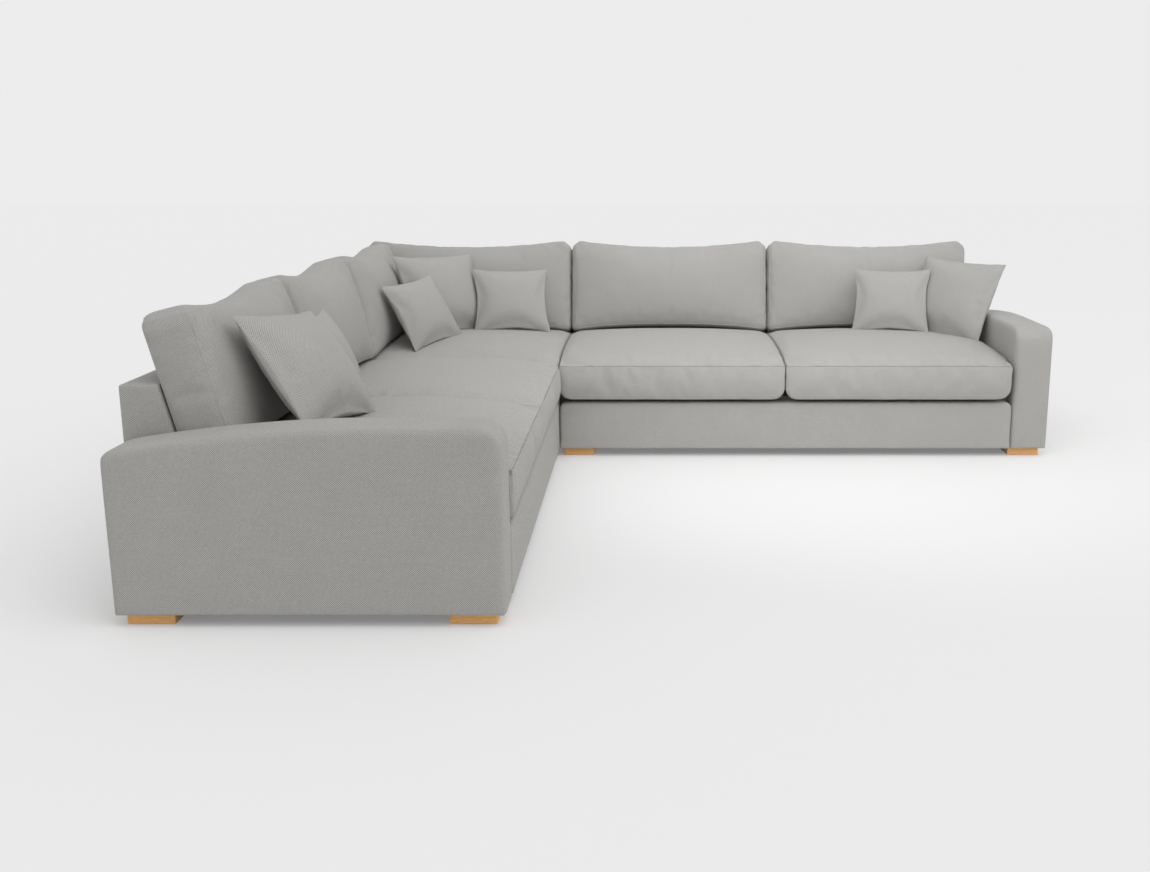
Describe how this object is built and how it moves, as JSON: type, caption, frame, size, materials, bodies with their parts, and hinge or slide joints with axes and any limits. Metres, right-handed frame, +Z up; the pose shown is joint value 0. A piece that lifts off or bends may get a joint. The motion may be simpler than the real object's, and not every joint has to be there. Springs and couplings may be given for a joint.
{
  "type": "corner sofa",
  "caption": "L-shaped modular corner sofa with low squared arms, loose crowned seat and back cushions, scatter cushions and low oak block feet.",
  "frame": {"origin": "On the floor under the middle of the sofa's rectangular outline.", "axes": "+X along the longer wing, towards its arm; +Y towards the long back, so the open side of the L faces -Y; +Z up."},
  "size_m": [3.115, 2.864, 0.8378],
  "materials": {
    "upholstery_fabric": "light grey basket-weave upholstery fabric, matt",
    "foam": "cream seat foam in a fibre wrap",
    "fibre": "white fibre filling in a cotton inner bag",
    "frame_timber": "sawn beech and plywood, unfinished",
    "platform_cloth": "grey platform cloth over felt",
    "dust_cloth": "black non-woven bottom cloth",
    "oak": "oak, oiled to a warm honey colour, satin",
    "steel": "zinc-plated steel"
  },
  "bodies": {
    "root": {"left_base_frame": "frame_timber", "corner_base_frame": "frame_timber", "right_base_frame": "frame_timber", "left_back_frame": "frame_timber", "corner_back_frame": "frame_timber", "right_back_frame": "frame_timber", "left_back_cover": "upholstery_fabric", "corner_back_cover": "upholstery_fabric", "right_back_cover": "upholstery_fabric", "left_platform": "platform_cloth", "corner_platform": "platform_cloth", "right_platform": "platform_cloth", "left_front_panel": "upholstery_fabric", "right_front_panel": "upholstery_fabric", "left_arm_cover": "upholstery_fabric", "right_arm_cover": "upholstery_fabric", "left_arm_frame": "frame_timber", "right_arm_frame": "frame_timber", "seat_springs": "steel", "dust_covers": "dust_cloth", "feet": "oak", "foot_bolts": "steel", "unit_connectors": "steel", "connector_screws": "steel"},
    "left_outer_seat": {"left_outer_seat_cover": "upholstery_fabric", "left_outer_seat_filling": "foam"},
    "left_inner_seat": {"left_inner_seat_cover": "upholstery_fabric", "left_inner_seat_filling": "foam"},
    "corner_seat": {"corner_seat_cover": "upholstery_fabric", "corner_seat_filling": "foam"},
    "right_inner_seat": {"right_inner_seat_cover": "upholstery_fabric", "right_inner_seat_filling": "foam"},
    "right_outer_seat": {"right_outer_seat_cover": "upholstery_fabric", "right_outer_seat_filling": "foam"},
    "left_outer_back": {"left_outer_back_cover": "upholstery_fabric", "left_outer_back_filling": "fibre"},
    "left_inner_back": {"left_inner_back_cover": "upholstery_fabric", "left_inner_back_filling": "fibre"},
    "left_corner_back": {"left_corner_back_cover": "upholstery_fabric", "left_corner_back_filling": "fibre"},
    "rear_corner_back": {"rear_corner_back_cover": "upholstery_fabric", "rear_corner_back_filling": "fibre"},
    "rear_inner_back": {"rear_inner_back_cover": "upholstery_fabric", "rear_inner_back_filling": "fibre"},
    "rear_outer_back": {"rear_outer_back_cover": "upholstery_fabric", "rear_outer_back_filling": "fibre"},
    "left_small_scatter": {"left_small_scatter_cover": "upholstery_fabric", "left_small_scatter_filling": "fibre"},
    "left_large_scatter": {"left_large_scatter_cover": "upholstery_fabric", "left_large_scatter_filling": "fibre"},
    "corner_large_scatter": {"corner_large_scatter_cover": "upholstery_fabric", "corner_large_scatter_filling": "fibre"},
    "corner_left_scatter": {"corner_left_scatter_cover": "upholstery_fabric", "corner_left_scatter_filling": "fibre"},
    "corner_right_scatter": {"corner_right_scatter_cover": "upholstery_fabric", "corner_right_scatter_filling": "fibre"},
    "right_large_scatter": {"right_large_scatter_cover": "upholstery_fabric", "right_large_scatter_filling": "fibre"},
    "right_small_scatter": {"right_small_scatter_cover": "upholstery_fabric", "right_small_scatter_filling": "fibre"}
  },
  "joints": [
    {"name": "left_outer_seat_lift", "type": "slide", "parent": "root", "child": "left_outer_seat", "axis": [0, 0, 1], "range_m": [0, 0.35]},
    {"name": "left_inner_seat_lift", "type": "slide", "parent": "root", "child": "left_inner_seat", "axis": [0, 0, 1], "range_m": [0, 0.35]},
    {"name": "corner_seat_lift", "type": "slide", "parent": "root", "child": "corner_seat", "axis": [0, 0, 1], "range_m": [0, 0.35]},
    {"name": "right_inner_seat_lift", "type": "slide", "parent": "root", "child": "right_inner_seat", "axis": [0, 0, 1], "range_m": [0, 0.35]},
    {"name": "right_outer_seat_lift", "type": "slide", "parent": "root", "child": "right_outer_seat", "axis": [0, 0, 1], "range_m": [0, 0.35]},
    {"name": "left_outer_back_lift", "type": "slide", "parent": "left_outer_seat", "child": "left_outer_back", "axis": [-0.2419, 0, 0.9703], "range_m": [0, 0.3]},
    {"name": "left_inner_back_lift", "type": "slide", "parent": "left_inner_seat", "child": "left_inner_back", "axis": [-0.2419, 0, 0.9703], "range_m": [0, 0.3]},
    {"name": "left_corner_back_lift", "type": "slide", "parent": "corner_seat", "child": "left_corner_back", "axis": [-0.2419, 0, 0.9703], "range_m": [0, 0.3]},
    {"name": "rear_corner_back_lift", "type": "slide", "parent": "corner_seat", "child": "rear_corner_back", "axis": [0, 0.2419, 0.9703], "range_m": [0, 0.3]},
    {"name": "rear_inner_back_lift", "type": "slide", "parent": "right_inner_seat", "child": "rear_inner_back", "axis": [0, 0.2419, 0.9703], "range_m": [0, 0.3]},
    {"name": "rear_outer_back_lift", "type": "slide", "parent": "right_outer_seat", "child": "rear_outer_back", "axis": [0, 0.2419, 0.9703], "range_m": [0, 0.3]},
    {"name": "left_small_scatter_lift", "type": "slide", "parent": "left_outer_seat", "child": "left_small_scatter", "axis": [0.9135, 0, 0.4067], "range_m": [0, 0.3]},
    {"name": "left_large_scatter_lift", "type": "slide", "parent": "left_small_scatter", "child": "left_large_scatter", "axis": [0.7861, -0.055, 0.6157], "range_m": [0, 0.3]},
    {"name": "corner_large_scatter_lift", "type": "slide", "parent": "corner_seat", "child": "corner_large_scatter", "axis": [0.6519, -0.6296, 0.4226], "range_m": [0, 0.3]},
    {"name": "corner_left_scatter_lift", "type": "slide", "parent": "corner_large_scatter", "child": "corner_left_scatter", "axis": [0.7647, -0.4066, 0.5], "range_m": [0, 0.3]},
    {"name": "corner_right_scatter_lift", "type": "slide", "parent": "corner_large_scatter", "child": "corner_right_scatter", "axis": [0.1818, -0.8555, 0.4848], "range_m": [0, 0.3]},
    {"name": "right_large_scatter_lift", "type": "slide", "parent": "right_outer_seat", "child": "right_large_scatter", "axis": [-0.6457, -0.6022, 0.4695], "range_m": [0, 0.3]},
    {"name": "right_small_scatter_lift", "type": "slide", "parent": "right_large_scatter", "child": "right_small_scatter", "axis": [-0.2116, -0.8486, 0.4848], "range_m": [0, 0.3]}
  ]
}
